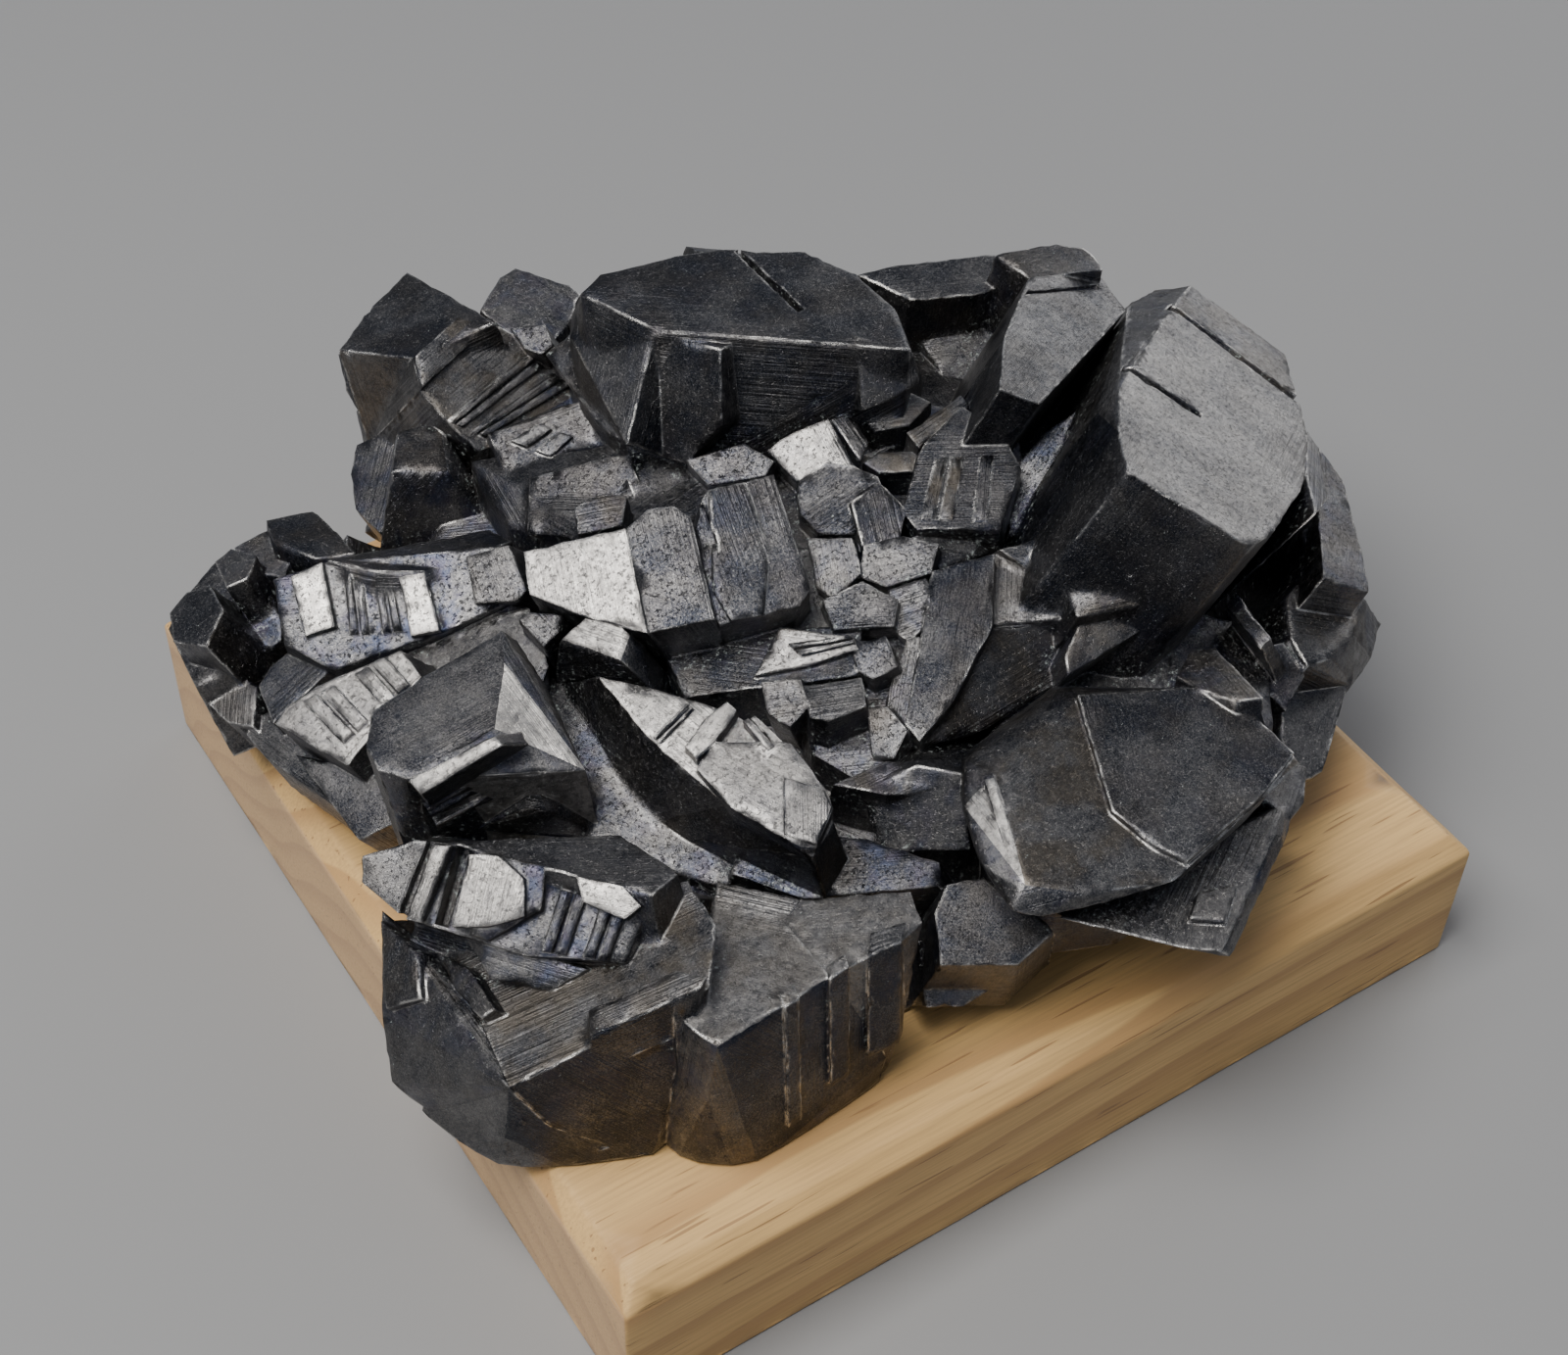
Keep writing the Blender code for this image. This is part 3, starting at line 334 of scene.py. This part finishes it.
def make_specimen(node):
    surface, count = facet_surface(node)
    surface.faces.ensure_lookup_table()
    number = surface.faces.layers.int["facet"]
    solid_tree = BVHTree.FromBMesh(surface)
    frames = facet_frames(surface, count)
    looks = looks_of(surface, count, solid_tree, frames)
    divide(surface)
    wear(surface, frames)
    surface.normal_update()
    shut = crevices(surface, solid_tree)
    facet_of = np.array([face[number] for face in surface.faces])
    grain = []
    for face in surface.faces:
        _, along, across = frames[face[number]]
        for loop in face.loops:
            spot = loop.vert.co
            grain.append((spot.dot(along), spot.dot(across), face[number] * PATTERN_SHIFT))
    mesh = finished_mesh("bournonite_crystals", surface, SHARP_ANGLE)
    mesh.attributes.remove(mesh.attributes["facet"])
    mesh.attributes.new("grain", "FLOAT_VECTOR", "CORNER").data.foreach_set(
        "vector", np.array(grain, np.float32).ravel())
    mesh.attributes.new("crevice", "FLOAT", "POINT").data.foreach_set("value", shut)
    for column, name in enumerate(("tone_and_painted_light", "sheen", "tarnish")):
        values = looks[facet_of, column].astype(np.float32)
        mesh.attributes.new(name, "FLOAT", "FACE").data.foreach_set("value", values)
    return placed(mesh)


def finished_mesh(name, surface, sharp_angle):
    """The bmesh as a mesh in metres, smooth but for its sharp edges."""
    bmesh.ops.scale(surface, vec=(MM,) * 3, verts=surface.verts)
    mesh = bpy.data.meshes.new(name)
    surface.to_mesh(mesh)
    surface.free()
    mesh.polygons.foreach_set("use_smooth", np.ones(len(mesh.polygons), bool))
    mesh.set_sharp_from_angle(angle=sharp_angle)
    return mesh


def placed(mesh):
    """An object of the mesh's name, in the scene."""
    piece = bpy.data.objects.new(mesh.name, mesh)
    bpy.context.scene.collection.objects.link(piece)
    return piece


# Materials

class Nodes:
    """A material's node tree, with short calls for the nodes used here."""

    def __init__(self, name):
        self.material = bpy.data.materials.new(name)
        self.material.use_nodes = True
        self.tree = self.material.node_tree
        self.shader = self.tree.nodes["Principled BSDF"]

    def put(self, socket, value):
        if isinstance(value, bpy.types.NodeSocket):
            self.tree.links.new(value, socket)
        else:
            socket.default_value = value

    def node(self, kind, inputs=(), **settings):
        made = self.tree.nodes.new(kind)
        for key, value in settings.items():
            setattr(made, key, value)
        for key, value in dict(inputs).items():
            self.put(made.inputs[key], value)
        return made

    def attribute(self, name, output="Fac"):
        return self.node("ShaderNodeAttribute", attribute_name=name).outputs[output]

    def math(self, operation, first, second=0.0, clamp=False):
        return self.node("ShaderNodeMath", {0: first, 1: second}, operation=operation,
                         use_clamp=clamp).outputs[0]

    def times(self, *values, clamp=False):
        """The product of two or more values, clamped at the end if asked."""
        product = values[0]
        for value in values[1:-1]:
            product = self.math("MULTIPLY", product, value)
        return self.math("MULTIPLY", product, values[-1], clamp=clamp)

    def plus(self, *values, clamp=False):
        """The sum of two or more values, clamped at the end if asked."""
        total = values[0]
        for value in values[1:-1]:
            total = self.math("ADD", total, value)
        return self.math("ADD", total, values[-1], clamp=clamp)

    def ramp(self, value, low, high, start=0.0, end=1.0):
        """value from low..high to start..end, smooth and clamped."""
        made = self.node("ShaderNodeMapRange", {"Value": value, "From Min": low, "From Max": high,
                                                "To Min": start, "To Max": end})
        made.interpolation_type = "SMOOTHSTEP"
        return made.outputs[0]

    def noise(self, place, scale, detail=3.0, roughness=0.55, distortion=0.0):
        return self.node("ShaderNodeTexNoise", {"Vector": place, "Scale": scale, "Detail": detail,
                                                "Roughness": roughness,
                                                "Distortion": distortion}).outputs["Fac"]

    def stretched(self, place, factors):
        return self.node("ShaderNodeVectorMath", {0: place, 1: factors},
                         operation="MULTIPLY").outputs[0]

    def millimetres(self):
        """The place on the object, in millimetres."""
        return self.stretched(self.node("ShaderNodeTexCoord").outputs["Object"], (1 / MM,) * 3)

    def face_normal(self):
        return self.node("ShaderNodeNewGeometry").outputs["Normal"]

    def rounded(self, radius, samples):
        """The normal of a surface whose edges are rounded by a radius in millimetres."""
        return self.node("ShaderNodeBevel", {"Radius": radius * MM}, samples=samples).outputs[0]

    def bump(self, height, strength, normal):
        """The normal of a relief whose height is in millimetres."""
        return self.node("ShaderNodeBump", {"Height": height, "Distance": MM,
                                            "Strength": strength, "Normal": normal}).outputs[0]

    def mix(self, share, first, second):
        made = self.node("ShaderNodeMix", data_type="RGBA")
        self.put(made.inputs["Factor"], share)
        self.put(made.inputs["A"], first)
        self.put(made.inputs["B"], second)
        return made.outputs["Result"]

    def finish(self, **inputs):
        for name, value in inputs.items():
            self.put(self.shader.inputs[name.replace("_", " ")], value)
        return self.material


def metal_relief(n, place, grain):
    """Growth lines along each facet, ledges across it, pits and fine tooth, in millimetres."""
    lines = n.noise(n.stretched(grain, (0.05, 2.6, 1.0)), 1.0, detail=4.0, roughness=0.6)
    fine_lines = n.noise(n.stretched(grain, (0.12, 9.0, 1.0)), 1.0, detail=2.0, roughness=0.5)
    patches = n.noise(n.stretched(grain, (0.04, 0.06, 1.0)), 1.0, detail=1.0)
    lined = n.ramp(patches, 0.42, 0.6, start=0.15, end=1.0)
    swell = n.noise(n.stretched(grain, (0.10, 0.26, 1.0)), 1.0, detail=3.0, roughness=0.5,
                    distortion=0.4)
    ledges = n.math("FLOOR", n.times(swell, 9.0))
    pits = n.ramp(n.noise(place, 2.6, detail=4.0, roughness=0.7), 0.28, 0.46)
    tooth = n.noise(place, 9.0, detail=3.0, roughness=0.7)
    return n.plus(n.times(lines, lined, 0.22), n.times(fine_lines, lined, 0.05),
                  n.times(ledges, 0.035), n.times(pits, 0.055), n.times(tooth, 0.035))


def worn_highlit_edges(n, place, crevice, rounded):
    """Where the rounded normal turns away from the facet's own, out in the open. These edges are
    rubbed bare and also carry a near-white painted highlight in their colour.
    """
    facing = n.node("ShaderNodeVectorMath", {0: rounded, 1: n.face_normal()},
                    operation="DOT_PRODUCT").outputs["Value"]
    edge = n.ramp(facing, 0.995, 0.93)
    open_air = n.ramp(crevice, 0.35, 0.12)
    rubbed = n.ramp(n.noise(place, 0.35, detail=4.0, roughness=0.65), 0.38, 0.58)
    return n.times(edge, open_air, rubbed, clamp=True)


def metal_shine(n, place, grain, tone_and_painted_light):
    """How bright the bare metal's colour is: the facet's tone, painted reflection and painted shade
    on picked facets, mottled, with speckle and painted glints.
    """
    speckle = n.ramp(n.noise(place, 5.5, detail=3.0, roughness=0.75), 0.35, 0.72,
                     start=-0.06, end=0.13)
    cloud = n.ramp(n.noise(place, 0.16, detail=3.0, roughness=0.6), 0.3, 0.7,
                   start=-0.06, end=0.08)
    # Painted glints: sparse bright specks laid into the metal's colour
    glints = n.ramp(n.noise(place, 4.2, detail=4.0, roughness=0.8), 0.60, 0.66,
                    start=0.0, end=0.22)
    blotches = n.ramp(n.noise(place, 1.4, detail=5.0, roughness=0.7), 0.33, 0.62,
                      start=0.55, end=1.1)
    streaks = n.ramp(n.noise(grain, 0.7, detail=3.0, roughness=0.6), 0.3, 0.6,
                     start=0.75, end=1.0)
    # Tone, with painted reflection and painted shade on picked facets, mottled
    mottled = n.times(tone_and_painted_light, n.times(blotches, streaks))
    return n.plus(n.plus(mottled, speckle), n.plus(cloud, glints), clamp=True)


def blue_share(n, place, tarnish, crevice):
    """Where the metal is tarnished blue: in clouds, and more so in crevices."""
    bloom = n.ramp(n.noise(n.stretched(place, (1.0, 1.0, 0.6)), 0.30, detail=3.0, roughness=0.6,
                           distortion=0.5), 0.40, 0.68)
    in_crevices = n.ramp(crevice, 0.10, 0.45, start=0.02, end=0.30)
    return n.times(bloom, n.plus(n.times(tarnish, 0.85), in_crevices), clamp=True)


def powder_share(n, place, crevice):
    """Where pale powder lies: in crevices, and as a few lone specks."""
    grains = n.ramp(n.noise(place, 1.9, detail=5.0, roughness=0.75), 0.56, 0.66)
    drifts = n.ramp(n.times(n.noise(place, 0.13, detail=2.0), crevice), 0.11, 0.26)
    specks = n.ramp(n.noise(place, 3.7, detail=2.0, roughness=0.5), 0.735, 0.765,
                    start=0.0, end=0.8)
    return n.math("MAXIMUM", n.times(grains, drifts), specks)


def bournonite():
    n = Nodes("bournonite_surface")
    place = n.millimetres()
    grain = n.attribute("grain", "Vector")
    tone_and_painted_light, sheen, tarnish = (n.attribute(name) for name in ("tone_and_painted_light", "sheen", "tarnish"))
    crevice = n.attribute("crevice")
    rounded = n.rounded(ROUNDED_EDGE, samples=6)
    worn_and_highlit = worn_highlit_edges(n, place, crevice, rounded)
    dust = powder_share(n, place, crevice)

    # Graphite to silver by tone, painted reflection and shade, and painted glints
    colour = n.mix(metal_shine(n, place, grain, tone_and_painted_light), GRAPHITE, SILVER_AND_PAINTED_REFLECTION)
    patch = n.ramp(n.noise(place, 0.22, detail=4.0, roughness=0.6), 0.38, 0.62)
    colour = n.mix(n.times(sheen, patch, 0.6), colour, BROWN_SHEEN)
    hue = n.mix(n.ramp(n.noise(place, 0.5, detail=2.0), 0.4, 0.6), BLUE_TARNISH, PURPLE_TARNISH)
    colour = n.mix(blue_share(n, place, tarnish, crevice), colour, hue)
    # Rubbed edges: bare metal, and a near-white painted highlight
    colour = n.mix(n.times(worn_and_highlit, 0.85), colour, BARE_EDGE_HIGHLIGHT)
    colour = n.mix(dust, colour, PALE_POWDER)

    uneven = n.ramp(n.noise(place, 1.1, detail=4.0, roughness=0.65), 0.3, 0.7,
                    start=0.30, end=0.46)
    roughness = n.plus(uneven, n.times(worn_and_highlit, -0.10))
    metal = n.math("SUBTRACT", 1.0, n.times(dust, 0.9))
    normal = n.bump(metal_relief(n, place, grain), 0.8, rounded)
    return n.finish(Base_Color=colour, Metallic=metal, Roughness=roughness, Normal=normal)


def ring_share(n, place):
    """The late wood of the growth rings round a pith below the board, wavering slowly along
    the fibres."""
    waver = n.noise(n.stretched(place, (0.006, 0.03, 0.03)), 1.0, detail=2.0, roughness=0.5)
    split = n.node("ShaderNodeSeparateXYZ", {0: place})
    across = n.plus(split.outputs["Y"], n.times(waver, RING_WAVER))
    below = n.plus(split.outputs["Z"], PITH_BELOW)
    radius = n.math("SQRT", n.plus(n.times(across, across), n.times(below, below)))
    ring = n.math("FRACT", n.times(radius, RINGS_PER_MM))
    return n.times(n.ramp(ring, 0.35, 0.92), n.ramp(ring, 1.0, 0.93))


def pine():
    n = Nodes("planed_pine")
    place = n.millimetres()
    late = ring_share(n, place)
    fibre = n.noise(n.stretched(place, (0.10, 3.0, 3.0)), 1.0, detail=4.0, roughness=0.6)
    fleck = n.noise(n.stretched(place, (0.085, 1.9, 1.9)), 1.0, detail=1.0, roughness=0.4)
    flecks = n.ramp(fleck, 0.68, 0.73)
    broad = n.noise(n.stretched(place, (0.01, 0.05, 0.05)), 1.0, detail=3.0, roughness=0.6)
    colour = n.mix(broad, PINE_DEEP, PINE_PALE)
    colour = n.mix(n.times(late, 0.70), colour, LATE_WOOD)
    colour = n.mix(n.ramp(fibre, 0.35, 0.72, start=0.0, end=0.55), colour, DARK_FIBRE)
    colour = n.mix(n.times(flecks, 0.7), colour, DARK_FLECK)
    # End grain is a little pinker and duller
    facing = n.node("ShaderNodeSeparateXYZ", {0: n.face_normal()})
    end = n.ramp(n.math("ABSOLUTE", facing.outputs["X"]), 0.75, 0.95)
    colour = n.mix(n.times(end, 0.45), colour, END_GRAIN)
    height = n.plus(n.times(fibre, 0.05), n.times(flecks, -0.06))
    normal = n.bump(height, 0.7, n.rounded(ROUNDED_ARRIS, samples=4))
    return n.finish(Base_Color=colour, Roughness=n.ramp(fibre, 0.3, 0.7, start=0.50, end=0.66),
                    Normal=normal)


def plain(name, colour, roughness):
    return Nodes(name).finish(Base_Color=colour, Roughness=roughness)


# The block

def make_block(node):
    """The block's own outline, with its edges eased and its faces divided finely enough to be
    very slightly uneven."""
    surface = bmesh.new()
    surface.from_mesh(node.data)
    bmesh.ops.scale(surface, vec=(1 / MM,) * 3, verts=surface.verts)
    bmesh.ops.remove_doubles(surface, verts=surface.verts, dist=WELD)
    bmesh.ops.dissolve_limit(surface, angle_limit=FACET_ANGLE, verts=surface.verts,
                             edges=surface.edges)
    bmesh.ops.bevel(surface, geom=list(surface.edges), offset=BLOCK_EASING, segments=3,
                    profile=0.5, affect="EDGES")
    bmesh.ops.triangulate(surface, faces=surface.faces)
    for _ in range(BLOCK_SPLITS):
        split_long_edges(surface, [edge for edge in surface.edges
                                   if edge.calc_length() > BLOCK_EDGE])
    surface.normal_update()
    for vertex in surface.verts:
        vertex.co -= vertex.normal * (BLOCK_RELIEF * (1 + noise.noise(vertex.co * 0.12)))
    return placed(finished_mesh("pine_block", surface, BLOCK_SHARP_ANGLE))


# Surroundings

def make_floor():
    mesh = bpy.data.meshes.new("floor")
    mesh.from_pydata([(-FLOOR_REACH, -FLOOR_REACH, 0), (FLOOR_REACH, -FLOOR_REACH, 0),
                      (FLOOR_REACH, FLOOR_REACH, 0), (-FLOOR_REACH, FLOOR_REACH, 0)],
                     [], [(0, 1, 2, 3)])
    floor = placed(mesh)
    mesh.materials.append(plain("pale_floor", (FLOOR_GREY, FLOOR_GREY, FLOOR_GREY, 1.0), 0.7))


def soft_light(name, place, size, power, tint=(1.0, 1.0, 1.0)):
    light = bpy.data.lights.new(name, "AREA")
    light.energy = power
    light.size = size
    light.color = tint
    lamp = bpy.data.objects.new(name, light)
    lamp.location = place
    lamp.rotation_euler = (LIT_SPOT - Vector(place)).to_track_quat("-Z", "Y").to_euler()
    bpy.context.scene.collection.objects.link(lamp)


def make_light():
    world = bpy.data.worlds.new("studio")
    bpy.context.scene.world = world
    world.use_nodes = True
    backdrop = world.node_tree.nodes["Background"]
    backdrop.inputs["Color"].default_value = SKY_COLOUR
    backdrop.inputs["Strength"].default_value = SKY_STRENGTH
    soft_light("key", (-0.30, -0.02, 0.68), size=0.42, power=7.0, tint=(1.0, 0.98, 0.95))
    soft_light("low_right", (0.72, 0.30, 0.23), size=0.5, power=1.8)


def make_camera():
    data = bpy.data.cameras.new("camera")
    data.sensor_width = SENSOR_WIDTH
    data.lens = FOCAL_LENGTH * SENSOR_WIDTH / IMAGE_SIZE[0]
    data.clip_start = 0.01
    camera = bpy.data.objects.new("camera", data)
    turned = Matrix((RIGHT, UP, -AHEAD)).transposed().to_4x4()
    camera.matrix_world = Matrix.Translation(EYE * MM) @ turned
    bpy.context.scene.collection.objects.link(camera)
    bpy.context.scene.camera = camera


specimen = make_specimen(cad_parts["bournonite_cluster"])
specimen.data.materials.append(bournonite())
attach(specimen, "root")
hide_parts("bournonite_cluster")

block = make_block(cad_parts["wood_base"])
block.data.materials.append(pine())
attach(block, "root")
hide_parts("wood_base")

make_floor()
make_light()
make_camera()
